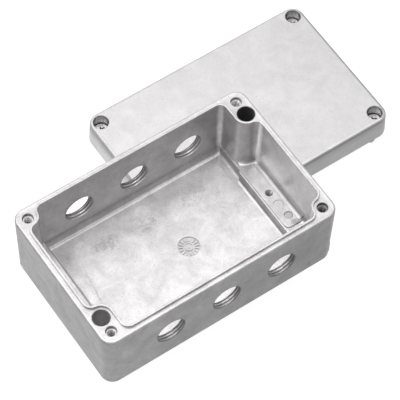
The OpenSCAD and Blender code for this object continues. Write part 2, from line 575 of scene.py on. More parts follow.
def fill(socket: bpy.types.NodeSocket, value: Value) -> None:
    """Link a socket to another one, or set it to a number.

    Args:
        socket: The input.
        value: An output or a number.
    """
    if isinstance(value, bpy.types.NodeSocket):
        socket.id_data.links.new(value, socket)
    else:
        socket.default_value = value


def maths(
    tree: bpy.types.NodeTree, operation: str, first: Value, second: Value
) -> bpy.types.NodeSocket:
    """Add a Math node.

    Args:
        tree: Where it goes.
        operation: What it does.
        first: A socket or a number.
        second: A socket or a number.

    Returns:
        Its result.
    """
    node = tree.nodes.new("ShaderNodeMath")
    node.operation = operation
    for socket, value in zip(node.inputs, (first, second)):
        fill(socket, value)
    return node.outputs[0]


def noise(
    tree: bpy.types.NodeTree,
    where: bpy.types.NodeSocket,
    scale: Value,
    detail: float,
    rough: float = 0.55,
    bend: float = 0.0,
) -> bpy.types.NodeSocket:
    """Add a noise pattern.

    Args:
        tree: Where it goes.
        where: The coordinates.
        scale: Its scale, a number or a socket.
        detail: How many finer patterns lie in it.
        rough: How strong those are.
        bend: How far the pattern is drawn out of shape.

    Returns:
        The pattern's value.
    """
    node = tree.nodes.new("ShaderNodeTexNoise")
    tree.links.new(where, node.inputs["Vector"])
    fill(node.inputs["Scale"], scale)
    node.inputs["Detail"].default_value = detail
    node.inputs["Roughness"].default_value = rough
    node.inputs["Distortion"].default_value = bend
    return node.outputs["Fac"]


def spread(
    tree: bpy.types.NodeTree,
    value: bpy.types.NodeSocket,
    low: float,
    high: float,
    start: float = 0.3,
    end: float = 0.7,
) -> bpy.types.NodeSocket:
    """Stretch a value from one range to another. Most of a noise lies from 0.3 to 0.7.

    Args:
        tree: Where the node goes.
        value: The value.
        low: What the start becomes.
        high: What the end becomes.
        start: Start of the old range.
        end: End of the old range.

    Returns:
        The new value.
    """
    node = tree.nodes.new("ShaderNodeMapRange")
    tree.links.new(value, node.inputs["Value"])
    bounds = {"From Min": start, "From Max": end, "To Min": low, "To Max": high}
    for name, bound in bounds.items():
        node.inputs[name].default_value = bound
    return node.outputs["Result"]


def blend_colours(
    tree: bpy.types.NodeTree,
    share: bpy.types.NodeSocket,
    first: Sequence[float],
    second: Sequence[float],
) -> bpy.types.NodeSocket:
    """Go from one colour to another, and a little past it where the share is over 1.

    Args:
        tree: Where the node goes.
        share: Share of the second colour.
        first: The first colour.
        second: The second colour.

    Returns:
        The colour.
    """
    node = tree.nodes.new("ShaderNodeMix")
    node.data_type = "RGBA"
    node.clamp_factor = False
    factor, start, end = (s for s in node.inputs if s.enabled)
    start.default_value = (*first, 1)
    end.default_value = (*second, 1)
    tree.links.new(share, factor)
    return next(s for s in node.outputs if s.enabled)


def grain_group() -> bpy.types.NodeTree:
    """The fine skin of a blasted or cast metal, and the clouds in it.

    Returns:
        A group that puts out the height of the grain, the clouds, the specks and the
        ragged patches of a cold melt, each from 0 to 1.
    """
    tree, enter, leave = new_group(
        "metal_skin",
        [
            GroupSocket("Vector", "NodeSocketVector"),
            GroupSocket("Grain Scale"),
            GroupSocket("Cloud Scale"),
            GroupSocket("Height", out=True),
            GroupSocket("Clouds", out=True),
            GroupSocket("Specks", out=True),
            GroupSocket("Patches", out=True),
        ],
    )
    where, grain, cloud = (enter.outputs[n] for n in ("Vector", "Grain Scale", "Cloud Scale"))
    fine = noise(tree, where, grain, detail=3.0, rough=0.6)
    coarse = noise(tree, where, maths(tree, "MULTIPLY", grain, 0.22), detail=2.0)
    parts = (maths(tree, "MULTIPLY", part, share) for part, share in ((fine, 0.55), (coarse, 0.45)))
    height = maths(tree, "ADD", *parts)
    clouds = noise(tree, where, cloud, detail=8.0, rough=0.7, bend=0.4)
    specks = noise(tree, where, maths(tree, "MULTIPLY", cloud, 16.0), detail=4.0, rough=0.75)
    patches = maths(tree, "MULTIPLY", cloud, 4.0)
    ragged = noise(tree, where, patches, detail=6.0, rough=0.62, bend=1.0)
    link(
        tree,
        (height, leave.inputs["Height"]),
        (clouds, leave.inputs["Clouds"]),
        (specks, leave.inputs["Specks"]),
        (spread(tree, ragged, 0.0, 1.0, 0.42, 0.62), leave.inputs["Patches"]),
    )
    return tree


def with_skin(
    name: str, skin: bpy.types.NodeTree, grain_scale: float, cloud_scale: float, bump: float
) -> tuple[bpy.types.Material, bpy.types.NodeSocket, bpy.types.Node]:
    """Start a material whose surface has the shared skin in relief.

    Args:
        name: Name of the material.
        skin: The shared group for grain and clouds.
        grain_scale: How fine the grain is.
        cloud_scale: How fine the clouds are.
        bump: Depth of the grain in millimetres.

    Returns:
        The material, the coordinates in it and the node with its skin.
    """
    material = bpy.data.materials.new(name)
    material.use_nodes = True
    tree = material.node_tree
    where = tree.nodes.new("ShaderNodeTexCoord").outputs["Object"]
    group = tree.nodes.new("ShaderNodeGroup")
    group.node_tree = skin
    group.inputs["Grain Scale"].default_value = grain_scale
    group.inputs["Cloud Scale"].default_value = cloud_scale
    relief = tree.nodes.new("ShaderNodeBump")
    relief.inputs["Distance"].default_value = bump * MM
    link(
        tree,
        (where, group.inputs["Vector"]),
        (group.outputs["Height"], relief.inputs["Height"]),
        (relief.outputs["Normal"], tree.nodes["Principled BSDF"].inputs["Normal"]),
    )
    return material, where, group


@dataclass(frozen=True)
class PaintedShadeOrStain:
    """A round or long place on the metal that is duller or brighter than the rest: stained metal,
    or painted light and shade.

    Attributes:
        centre: Its middle in the shared frame, in millimetres.
        reach: How far it spreads along X, Y and Z.
        strength: How dark it is, or how light where it is negative.
        raggedness: How much of it is broken up into patches.
        core: Share of the reach at which it starts to fade.
    """

    centre: Place
    reach: Place
    strength: float
    raggedness: float = 0.8
    core: float = 0.3


@dataclass(frozen=True)
class MetalFinish:
    """A bare metal with a fine skin.

    Attributes:
        name: Name of the material.
        colour: Its grey, red, green and blue.
        metallic: How much of it is metal.
        roughness: Lowest and highest roughness.
        clouds: Darkest and lightest share of the colour in the clouds.
        specks: The same for the fine specks.
        grain_scale: How fine the grain is.
        cloud_scale: How fine the clouds are.
        bump: Depth of the grain in millimetres.
        stains_and_painted_light: Duller and brighter places, both stained metal and painted light
            and shade.
    """

    name: str
    colour: Colour
    metallic: float
    roughness: tuple[float, float]
    clouds: tuple[float, float]
    specks: tuple[float, float]
    grain_scale: float
    cloud_scale: float
    bump: float
    stains_and_painted_light: tuple[PaintedShadeOrStain, ...] = ()

    def material(self, skin: bpy.types.NodeTree) -> bpy.types.Material:
        """Build the material.

        Args:
            skin: The shared group for grain and clouds.

        Returns:
            The material.
        """
        material, where, group = with_skin(
            self.name, skin, self.grain_scale, self.cloud_scale, self.bump
        )
        tree = material.node_tree
        shader = tree.nodes["Principled BSDF"]
        shader.inputs["Metallic"].default_value = self.metallic
        clouds, specks = group.outputs["Clouds"], group.outputs["Specks"]
        shade = spread(tree, clouds, *self.clouds)
        shade = maths(tree, "MULTIPLY", shade, spread(tree, specks, *self.specks))
        # Stained spots, and painted light and shade, darken or lighten the colour here
        for stain_or_shade in self.stains_and_painted_light:
            share = self._stain_or_painted_shade(tree, where, group.outputs["Patches"], stain_or_shade)
            shade = maths(tree, "MULTIPLY", shade, share)
        link(
            tree,
            (blend_colours(tree, shade, (0, 0, 0), self.colour), shader.inputs["Base Color"]),
            (spread(tree, specks, *self.roughness), shader.inputs["Roughness"]),
        )
        return material

    def _stain_or_painted_shade(
        self,
        tree: bpy.types.NodeTree,
        where: bpy.types.NodeSocket,
        patches: bpy.types.NodeSocket,
        stain_or_shade: PaintedShadeOrStain,
    ) -> bpy.types.NodeSocket:
        """Share of the colour that is left in a stained spot or a spot of painted light and shade.

        Args:
            tree: Where the nodes go.
            where: The coordinates.
            patches: The ragged patches that the spot is made of.
            stain_or_shade: The spot, of stained metal or of painted light and shade.

        Returns:
            A value, 1 outside the spot.
        """
        mapping = tree.nodes.new("ShaderNodeMapping")
        shift = [-c / r for c, r in zip(stain_or_shade.centre, stain_or_shade.reach)]
        mapping.inputs["Location"].default_value = shift
        mapping.inputs["Scale"].default_value = [1 / (r * MM) for r in stain_or_shade.reach]
        tree.links.new(where, mapping.inputs["Vector"])
        length = tree.nodes.new("ShaderNodeVectorMath")
        length.operation = "LENGTH"
        tree.links.new(mapping.outputs["Vector"], length.inputs[0])
        near = spread(tree, length.outputs["Value"], stain_or_shade.strength, 0.0, stain_or_shade.core, 1.0)
        broken = spread(tree, patches, 1 - stain_or_shade.raggedness, 1.0, 0.0, 1.0)
        return maths(tree, "SUBTRACT", 1.0, maths(tree, "MULTIPLY", near, broken))


@dataclass(frozen=True)
class RubberFinish:
    """Black sealing rubber with a dull skin.

    Attributes:
        name: Name of the material.
        colour: Its black, red, green and blue.
        worn: How many times lighter the worn places are.
        roughness: Lowest and highest roughness.
        grain_scale: How fine the grain is.
        cloud_scale: How fine the worn places are.
        bump: Depth of the grain in millimetres.
    """

    name: str = "gasket_rubber"
    colour: Colour = (0.022, 0.022, 0.023)
    worn: float = 2.0
    roughness: tuple[float, float] = (0.52, 0.7)
    grain_scale: float = 1800.0
    cloud_scale: float = 220.0
    bump: float = 0.02

    def material(self, skin: bpy.types.NodeTree) -> bpy.types.Material:
        """Build the material.

        Args:
            skin: The shared group for grain and clouds.

        Returns:
            The material.
        """
        material, _, group = with_skin(
            self.name, skin, self.grain_scale, self.cloud_scale, self.bump
        )
        tree = material.node_tree
        shader = tree.nodes["Principled BSDF"]
        clouds = group.outputs["Clouds"]
        worn = [self.worn * c for c in self.colour]
        link(
            tree,
            (blend_colours(tree, clouds, self.colour, worn), shader.inputs["Base Color"]),
            (spread(tree, clouds, *self.roughness), shader.inputs["Roughness"]),
        )
        return material


# Castings and screws


@dataclass
class Castings:
    """Sizes that the base and the lid share, in millimetres.

    Attributes:
        half_l: Half the length over the short walls.
        half_w: Half the width over the long walls.
        corner_r: Radius of the upright corners.
        seal: The line of the lip and its groove.
        lip_w: Width of the lip.
        fine_edge: Radius of the small edges.
    """

    half_l: float = 62.5
    half_w: float = 40.0
    corner_r: float = 6.0
    seal: SealLine = field(default_factory=SealLine)
    lip_w: float = 1.1
    fine_edge: float = 0.25

    @property
    def screws(self) -> list[Point]:
        """Centres of the four lid screws."""
        x, y = self.seal.screw
        return [(-x, -y), (x, -y), (-x, y), (x, y)]

    @property
    def wells(self) -> list[Point]:
        """Centres of the two fixing wells."""
        x, y = self.seal.screw[0], self.seal.well_y
        return [(-x, -y), (x, y)]


@dataclass(frozen=True)
class Mark:
    """A round mark that an ejector pin left on the casting.

    Attributes:
        centre: Its middle in the base's frame.
        radius: Its radius.
        level: Height of the face that it lies in.
        depth: How deep it is.
        slope: Width of its rim as a share of its depth.
    """

    centre: Point
    radius: float
    level: float
    depth: float = 0.14
    slope: float = 0.6

    def cutter(self) -> Solid:
        """What the pin pressed away, with a soft rim."""
        edge = self.depth * self.slope
        levels = [
            (self.level - self.depth, self.radius - edge),
            (self.level, self.radius),
            (self.level + PAST, self.radius + PAST),
        ]
        return Solid.turned("pin_mark", levels, sides=40).move(to=(*self.centre, 0))


@dataclass(frozen=True)
class DateInsert:
    """The round insert in the mould that shows when a casting was made.

    Attributes:
        centre: Its middle in the base's frame.
        level: Height of the face that it lies in.
        radius: Its radius.
        rim: How much narrower it is at its foot.
        hub: Outer radius of the ring at its middle.
        ring_w: Width of that ring.
        ribs: How many short ribs point at the middle.
        rib_w: Width of a rib.
        rib_reach: Where a rib starts and ends.
        hand_l: Length of the hand inside the ring.
        hand_turn: Where the hand points, in radians.
        depth: How deep the ground between the ribs lies.
    """

    centre: Point
    level: float
    radius: float = 5.3
    rim: float = 0.1
    hub: float = 2.2
    ring_w: float = 0.45
    ribs: int = 16
    rib_w: float = 0.45
    rib_reach: Point = (2.8, 4.9)
    hand_l: float = 1.8
    hand_turn: float = 1.1
    depth: float = 0.5

    def cutter(self) -> Solid:
        """The ground between the ribs."""
        low, high, clear = self.level - self.depth, self.level + PAST, 1.0
        wall = [(low, self.radius - self.rim), (high, self.radius)]
        ground = Solid.turned("date_insert", wall, sides=56)
        ring = Solid.turned("ring", [(low - clear, self.hub), (high + clear, self.hub)], sides=40)
        bore = self.hub - self.ring_w
        core = Solid.turned("core", [(low - 2 * clear, bore), (high + 2 * clear, bore)], sides=40)
        ground.take(ring.take(core, Join.CUT), Join.CUT)
        half = self.rib_w / 2
        ribs = [(*self.rib_reach, math.tau * i / self.ribs) for i in range(self.ribs)]
        hand = (-self.hand_l / 2, self.hand_l / 2, self.hand_turn)
        for start, end, turn in (*ribs, hand):
            rib = Solid.block("rib", (start, -half, low - clear), (end, half, high + clear))
            ground.take(rib.move(Matrix.Rotation(turn, 4, "Z")), Join.CUT)
        return ground.move(to=(*self.centre, 0))


@dataclass
class Base(Castings):
    """The base casting with its lip, bosses, wells, shelves and tapped holes.

    Attributes:
        origin: Middle of its underside in the shared frame.
        height: Height of its rim.
        draft: How far its outer walls lean in towards the underside.
        under_r: Rounding round the underside.
        rim_r: Rounding along the rim.
        floor: Height of the floor.
        cavity_draft: How far the inner walls lean in towards the floor.
        floor_fillet: Fillet between the floor and the walls.
        lip_h: Height of the lip over the rim.
        shelf_x: Where the face of the shelf meets the floor.
        shelf_top: Height of the shelf.
        shelf_draft: How far the shelf's face leans back.
        shelf_foot: Fillet at the foot of that face.
        shelf_edge: Rounding along its upper edge.
        step_y: Where the shelf steps back, across the box.
        step: How far it steps back.
        pad_h: Height of the pad on the shelf.
        pad_y: Where the pad starts and ends, across the box.
        pad_margin: Land between the shelf's face and the pad.
        pad_r: Corner radius of the pad.
        wall_cove: Small fillet between the shelf, the walls and the boss.
        root: How far the shelf reaches into the wall.
        entry: Thread of a cable entry.
        entry_x: Places of the entries along the box.
        entry_z: Their height.
        entry_reach: How far a cutter for one reaches in from the outer face.
        lead: Bevel at the mouth of a threaded hole.
        well_r: Radius of a fixing well.
        well_seat: Height of its seat.
        fixing_r: Radius of the hole in it.
        tapped: Thread of the screw holes and the earth hole.
        mouth_r: Radius of a screw hole's mouth.
        mouth_t: Depth of that mouth.
        hole_depth: Depth of a screw hole.
        threaded: Length of its thread that can be seen.
        earth: Place of the earth hole.
        earth_depth: Its depth.
        marks: Marks of the ejector pins.
        insert: The date insert.
    """

    origin: Place = (-34.25, -23.5, 25.1)
    height: float = 40.0
    draft: float = 0.5
    under_r: float = 1.8
    rim_r: float = 1.1
    floor: float = 3.5
    cavity_draft: float = 0.6
    floor_fillet: float = 3.0
    lip_h: float = 1.5
    shelf_x: float = 47.7
    shelf_top: float = 8.0
    shelf_draft: float = 0.3
    shelf_foot: float = 1.8
    shelf_edge: float = 0.5
    step_y: float = 18.0
    step: float = 1.2
    pad_h: float = 1.0
    pad_y: Point = (-20.5, 24.5)
    pad_margin: float = 0.8
    pad_r: float = 2.5
    wall_cove: float = 2.5
    root: float = 2.0
    entry: Thread = Thread(7.25, 8.0, 1.5)
    entry_x: tuple[float, ...] = (-28.6, 1.4, 31.4)
    entry_z: float = 20.0
    entry_reach: float = 5.6
    lead: float = 0.3
    well_r: float = 4.1
    well_seat: float = 6.0
    fixing_r: float = 2.25
    tapped: Thread = Thread(1.65, 2.0, 0.7, 6)
    mouth_r: float = 2.5
    mouth_t: float = 1.6
    hole_depth: float = 16.0
    threaded: float = 6.0
    earth: Point = (52.9, 0.0)
    earth_depth: float = 6.5
    marks: tuple[Mark, ...] = (
        Mark((0.2, 26.5), 3.9, floor),
        Mark((-34.0, 25.7), 3.6, floor),
        Mark((41.0, 25.5), 3.5, floor),
        Mark((35.2, 14.2), 2.0, floor),
        Mark((53.3, 13.7), 2.6, shelf_top + pad_h, 0.22),
        Mark((53.0, -7.5), 2.5, shelf_top + pad_h, 0.28),
        Mark((53.5, -14.8), 2.15, shelf_top + pad_h, 0.55),
        Mark((-53.1, -13.6), 2.6, shelf_top + pad_h),
        Mark((-53.5, 14.8), 2.15, shelf_top + pad_h, 0.45),
    )
    insert: DateInsert = DateInsert((7.5, -0.7), floor)

    def build(self) -> Solid:
        """Model the casting.

        Returns:
            The casting in its own frame.
        """
        body = Solid.block(
            "base_casting", (-self.half_l, -self.half_w, 0), (self.half_l, self.half_w, self.height)
        )
        body.lean(0, self.draft).round_corners(self.corner_r)
        body.round_at(0, self.under_r, 6).round_at(self.height, self.rim_r, 5)
        body.take(self._lip(), Join.ADD)
        body.take(self._cavity(self.floor, self.floor_fillet), Join.CUT)
        for turn in (0, math.pi):
            about = Matrix.Rotation(turn, 4, "Z")
            body.take(self._shelf().move(about), Join.ADD)
            # The fillets run into the walls, and stop short of the pad's ends
            (y0, y1), short = self.pad_y, 1.0
            half = self.half_w - self.root
            for level, low, high in (
                (self.shelf_top, -half, half),
                (self.shelf_top + self.pad_h, y0 + short, y1 - short),
            ):
                body.take(self._wall_cove(level, low, high).move(about), Join.ADD)
        for cutter in self._cutters():
            body.take(cutter, Join.CUT)
        return body

    def _lip(self) -> Solid:
        """The sealing lip, still filled."""
        side = self.lip_h + PAST - self.fine_edge
        lip = Solid.sketch("lip", self.seal.outline(0), self.height - PAST)
        return lip.draw_up([(side, 0), *quarter(self.fine_edge, 3)])

    def _cavity(self, level: float, fillet: float) -> Solid:
        """The inside, drawn down from over the lip with its draft.

        Args:
            level: How far down it goes.
            fillet: Fillet at its foot.

        Returns:
            The cutter.
        """
        top = self.height + self.lip_h
        wall = top - self.fine_edge - level - fillet
        lean = self.cavity_draft * (top - level) / (top - self.floor)
        cavity = Solid.sketch("cavity", self.seal.outline(self.lip_w - self.fine_edge), 0)
        cavity.draw_up(
            [(PAST, 0), *cove(self.fine_edge, 3), (wall, lean), *quarter(fillet, 8)]
        )
        return cavity.move(Matrix.Diagonal((1, 1, -1, 1)), (0, 0, top + PAST)).outwards()

    def _wall_cove(self, level: float, low: float, high: float) -> Solid:
        """The small fillet where the top of a shelf or pad meets the walls and the boss.

        Args:
            level: Height of that top.
            low: Where it starts across the box.
            high: Where it ends.

        Returns:
            The fillet at the right-hand end.
        """
        start = self.pad_x + self.step + self.fine_edge
        end = self.half_l - self.root
        # The ledge starts under the face and ends over the cove, so that no faces coincide
        over, under, hair = 0.2, 0.4, 0.004
        top = level + self.wall_cove + over
        ledge = Solid.block("ledge", (start, low, level - under), (end, high, top))
        return ledge.take(self._cavity(level - hair, self.wall_cove), Join.CUT)

    @property
    def pad_x(self) -> float:
        """Where the pad starts along the box."""
        return self.shelf_x + self.shelf_draft + self.pad_margin

    def _shelf_run(self, setback: float) -> Solid:
        """A shelf along the whole right-hand wall, without its pad.

        Args:
            setback: How far its face stands back towards the wall.

        Returns:
            The shelf.
        """
        end, low, edge = self.half_l - self.root, self.floor - PAST, self.shelf_edge
        face, foot_r = self.shelf_x + setback, self.shelf_foot
        foot_steps, head_steps = 7, 4
        foot = [
            (face - foot_r * (1 - math.sin(a)), self.floor + foot_r * (1 - math.cos(a)))
            for a in (math.pi / 2 * i / foot_steps for i in range(foot_steps + 1))
        ]
        face += self.shelf_draft
        head = [
            (face + edge * (1 - math.cos(a)), self.shelf_top - edge * (1 - math.sin(a)))
            for a in (math.pi / 2 * i / head_steps for i in range(head_steps + 1))
        ]
        profile = [(foot[0][0], low), *foot, *head, (end, self.shelf_top), (end, low)]
        half = self.half_w - self.root
        shelf = Solid.sketch("shelf", profile, -half).draw_up([(2 * half, 0)])
        return shelf.move(Matrix.Rotation(math.pi / 2, 4, "X"))

    def _beyond_step(self, start: float, grow: float) -> Solid:
        """All that lies beyond the slanted step, which the face and the pad both make.

        Args:
            start: Where the face or the pad's edge stands in front of the step.
            grow: How far the step is moved along.

        Returns:
            A cutter for it.
        """
        clear = self.shelf_x - 2 * self.shelf_foot
        y, back = self.step_y + grow, start + self.step
        plan = [
            (clear, y - self.step - (start - clear)),
            (start, y - self.step),
            (back, y),
            (back, self.half_w),
            (clear, self.half_w),
        ]
        cut = Solid.sketch("beyond_step", plan, self.floor - 2 * PAST)
        return cut.draw_up([(self.shelf_top + 2 * self.pad_h, 0)])

    def _shelf(self) -> Solid:
        """The step along the right-hand wall, with its pad.

        Returns:
            The shelf and its pad as one solid.
        """
        shelf = self._shelf_run(0.0)
        shelf.take(self._beyond_step(self.shelf_x, 0.0), Join.CUT)
        shelf.take(self._shelf_run(self.step), Join.ADD)
        end = self.half_l - self.root
        (x0, (y0, y1)), top = (self.pad_x, self.pad_y), self.shelf_top + self.pad_h
        pad = Solid.block("pad", (x0, y0, self.shelf_top - PAST), (end, y1, top))
        pad.round_edges(
            lambda a, b: abs(a.z - b.z) > 1 and max(a.x, b.x) < x0 + 1 and a.y < 0, self.pad_r, 8
        )
        pad.take(self._beyond_step(x0, -self.pad_margin), Join.CUT)
        pad.round_at(top, self.fine_edge, 3)
        return shelf.take(pad, Join.ADD)

    def _screw_hole(self, depth: float, mouth: Level | None) -> Solid:
        """A tapped hole that points down from the origin.

        Args:
            depth: Its depth.
            mouth: Depth and radius of the wider mouth, where it has one.

        Returns:
            The cutter.
        """
        thread, point_r, blind_end = self.tapped, 0.1, 1.0
        drop = mouth[0] if mouth else 0.0
        low, high = -min(depth - blind_end, drop + self.threaded), -drop - self.lead
        levels = [(-depth - thread.minor / 2, point_r), (-depth, thread.minor)]
        levels += [*thread.rings(low, high), (-drop, thread.major)]
        if mouth:
            edge = self.fine_edge
            levels += [(-drop, mouth[1]), (-edge, mouth[1]), (0, mouth[1] + edge)]
        radius = levels[-1][1]
        levels += [(PAST, radius + (0 if mouth else PAST))]
        return thread.cut_into(Solid.turned("tapped_hole", levels, sides=32), low, high)

    def _well(self) -> Solid:
        """A fixing well with its hole, from under the base to over the rim."""
        edge = self.fine_edge
        levels = [
            (-PAST, self.fixing_r + edge + PAST),
            (edge, self.fixing_r),
            (self.well_seat, self.fixing_r),
            (self.well_seat, self.well_r - edge),
            (self.well_seat + edge, self.well_r),
            (self.height - edge, self.well_r),
            (self.height, self.well_r + edge),
            (self.height + PAST, self.well_r + edge + PAST),
        ]
        return Solid.turned("well", levels, sides=64)

    def _entry(self) -> Solid:
        """A cable entry along +Z, with the wall's outer face at the origin."""
        thread, low, high = self.entry, -self.entry_reach, -self.fine_edge
        levels = [*thread.rings(low, high), (0, thread.major), (PAST, thread.major + PAST)]
        return thread.cut_into(Solid.turned("entry", levels, sides=96), low, high)

    def _cutters(self) -> Iterator[Solid]:
        """All that is drilled, tapped and pressed into the casting, one cutter at a time."""
        hole = self._screw_hole(self.hole_depth, (self.mouth_t, self.mouth_r))
        for x, y in self.screws:
            yield hole.copy(to=(x, y, self.height))
        hole.drop()
        well = self._well()
        for x, y in self.wells:
            yield well.copy(to=(x, y, 0))
        well.drop()
        entry = self._entry()
        face = self.half_w - self.draft * (1 - self.entry_z / self.height)
        for x in self.entry_x:
            for side in (-1, 1):
                turn = Matrix.Rotation(-side * math.pi / 2, 4, "X")
                yield entry.copy(turn, (x, side * face, self.entry_z))
        entry.drop()
        earth = self._screw_hole(self.earth_depth, None)
        yield earth.move(to=(*self.earth, self.shelf_top + self.pad_h))
        for mark in self.marks:
            yield mark.cutter()
        yield self.insert.cutter()


@dataclass
class Lid(Castings):
    """The lid casting with its counterbores, groove and pocket.

    Attributes:
        origin: Middle of its mating face in the shared frame.
        height: Its thickness over all.
        draft: How far its outer walls lean in towards the top.
        top_r: Rounding round the top.
        low_r: Rounding along the lower outer edge.
        top_t: Thickness of its flat top.
        gap: Room between the lip and each side of the groove.
        groove_d: Depth of the groove.
        inner_wall: Wall inside the groove.
        gasket_t: Thickness of the gasket cord.
        pocket_inset: Distance of the pocket's plain sides from the outside.
        pocket_corner: Corner radius of the pocket.
        pocket_draft: How far its sides lean in towards the top.
        pocket_fillet: Fillet between its sides and the top.
        bore_r: Radius of a counterbore.
        hole_r: Radius of the hole for a screw's shank.
        flange: Thickness of the lid under a screw head.
    """

    origin: Place = (34.25, 23.5, 11.1)
    height: float = 14.0
    draft: float = 0.45
    top_r: float = 1.4
    low_r: float = 0.6
    top_t: float = 3.5
    gap: float = 0.3
    groove_d: float = 3.2
    inner_wall: float = 1.4
    gasket_t: float = 2.0
    pocket_inset: float = 5.3
    pocket_corner: float = 4.2
    pocket_draft: float = 0.6
    pocket_fillet: float = 3.0
    bore_r: float = 3.75
    hole_r: float = 1.65
    flange: float = 4.5

    def build(self) -> Solid:
        """Model the casting.

        Returns:
            The casting in its own frame.
        """
        body = Solid.block(
            "lid_casting", (-self.half_l, -self.half_w, 0), (self.half_l, self.half_w, self.height)
        )
        body.lean(self.height, self.draft).round_corners(self.corner_r)
        body.round_at(self.height, self.top_r, 6).round_at(0, self.low_r, 4)
        body.take(self._groove(), Join.CUT).take(self._pocket(), Join.CUT)
        bore = self._bore()
        for x, y in self.screws:
            body.take(bore.copy(to=(x, y, 0)), Join.CUT)
        bore.drop()
        return body

    def _groove(self) -> Solid:
        """What is cut for the lip and the gasket."""
        edge, deep = self.fine_edge, self.groove_d
        outer = Solid.sketch("groove", self.seal.outline(-self.gap - edge), -PAST)
        outer.draw_up([(PAST, 0), *cove(edge, 3), (deep - edge, 0)])
        island = Solid.sketch("island", self.seal.outline(self.lip_w + self.gap), 0)
        island.draw_up([(deep - edge + PAST, 0), *quarter(edge, 3), (2 * PAST, 0)])
        island.move(Matrix.Diagonal((1, 1, -1, 1)), (0, 0, deep + PAST)).outwards()
        return outer.take(island, Join.CUT)

    def _pocket(self) -> Solid:
        """What is cut for the room inside the lid."""
        edge, deep = self.fine_edge, self.height - self.top_t
        start = self.lip_w + self.gap + self.inner_wall - edge
        plan = Solid.sketch("pocket", self.seal.outline(start), -PAST)
        plan.draw_up([(PAST, 0), *cove(edge, 3), (deep, 0)])
        x, y = self.half_l - self.pocket_inset, self.half_w - self.pocket_inset
        room = Solid.block("room", (-x, -y, -2 * PAST), (x, y, deep))
        room.lean(deep, self.pocket_draft).round_corners(self.pocket_corner, 6)
        room.round_at(deep, self.pocket_fillet, 8)
        return plan.take(room, Join.COMMON)

    def _bore(self) -> Solid:
        """A screw hole with its counterbore."""
        edge = self.fine_edge
        levels = [
            (-PAST, self.hole_r + edge + PAST),
            (edge, self.hole_r),
            (self.flange, self.hole_r),
            (self.flange, self.bore_r),
            (self.height - edge, self.bore_r),
            (self.height, self.bore_r + edge),
            (self.height + PAST, self.bore_r + edge + PAST),
        ]
        return Solid.turned("bore", levels, sides=64)

    def gasket(self) -> Solid:
        """Model the cord that lies at the bottom of the groove.

        Returns:
            The gasket in the lid's frame.
        """
        edge, slack = 0.5, 0.02
        thick = self.gasket_t - slack
        cord = Solid.sketch("gasket_cord", self.seal.outline(-self.gap + slack), 0)
        cord.draw_up([(thick - edge, 0), *quarter(edge, 4)])
        cord.move(Matrix.Diagonal((1, 1, -1, 1)), (0, 0, self.groove_d - slack)).outwards()
        low = self.groove_d - self.gasket_t - PAST
        inside = self.seal.outline(self.lip_w + self.gap - slack - edge)
        inner = Solid.sketch("inside", inside, low)
        inner.draw_up([(PAST, 0), *cove(edge, 4), (thick + PAST, 0)])
        return cord.take(inner, Join.CUT)


@dataclass
class LidScrew:
    """A captive lid screw. Its thread's shoulder is at its origin.

    Attributes:
        thread: Its thread.
        length: Length below the shoulder.
        tip: Length of the bevel at the tip.
        tip_in: How far that bevel goes in.
        shoulder: Length of the bevel under the shoulder.
        shank_r: Radius of the slim shank.
        shank_l: Its length.
        neck: Fillet between the shank and the head.
        head_r: Radius of the head.
        head_h: Height of the head.
        head_low: Bevel along its lower edge.
        head_edge: Rounding along its upper edge.
        recess_w: Width across the arms of the cross recess.
        recess_d: Its depth.
        arm_w: Width of an arm.
        arm_foot: Share of its length and width that an arm keeps at its foot.
    """

    thread: Thread = Thread(1.62, 2.0, 0.7, 6)
    length: float = 11.1
    tip: float = 0.8
    tip_in: float = 0.42
    shoulder: float = 0.25
    shank_r: float = 1.55
    shank_l: float = 4.9
    neck: float = 0.15
    head_r: float = 3.5
    head_h: float = 2.8
    head_low: float = 0.2
    head_edge: float = 0.35
    recess_w: float = 4.2
    recess_d: float = 1.8
    arm_w: float = 1.0
    arm_foot: Point = (0.42, 0.68)

    def build(self) -> Solid:
        """Model the screw.

        Returns:
            The screw in its own frame.
        """
        low, high = self.tip - self.length, -self.shoulder
        top, seat, edge = self.shank_l + self.head_h, self.shank_l, self.head_edge
        start, hair = 0.3, 0.02
        levels = [
            (-self.length, self.thread.minor - self.tip_in),
            (low - start, self.thread.minor - hair),
            *self.thread.rings(low, high),
            (0, self.shank_r),
            (seat - self.neck, self.shank_r),
            (seat, self.shank_r + self.neck),
            (seat, self.head_r - self.head_low),
            (seat + self.head_low, self.head_r),
            (top - edge, self.head_r),
        ]
        for rise, inward in quarter(edge, 4):
            height, radius = levels[-1]
            levels.append((height + rise, radius - inward))
        piece = Solid.turned("lid_screw_piece", levels, sides=40)
        screw = self.thread.cut_into(piece, low, high)
        for turn in (0, math.pi / 2):
            screw.take(self._arm(turn, top), Join.CUT)
        return screw

    def _arm(self, turn: float, top: float) -> Solid:
        """One arm of the cross recess, narrower at its foot.

        Args:
            turn: How far the arm is turned about the axis.
            top: Height of the head's face.

        Returns:
            The cutter.
        """
        half_l, half_w, over = self.recess_w / 2, self.arm_w / 2, 0.2
        floor = top - self.recess_d
        arm = Solid.block("arm", (-half_l, -half_w, floor), (half_l, half_w, top + over))
        with arm.editing() as mesh:
            for face in mesh.faces:
                if all(abs(v.co.z - floor) < SAME for v in face.verts):
                    face.select_set(True)
            bpy.ops.transform.resize(value=(*self.arm_foot, 1), center_override=(0, 0, 0))
        return arm.move(Matrix.Rotation(turn, 4, "Z"))


# Stage


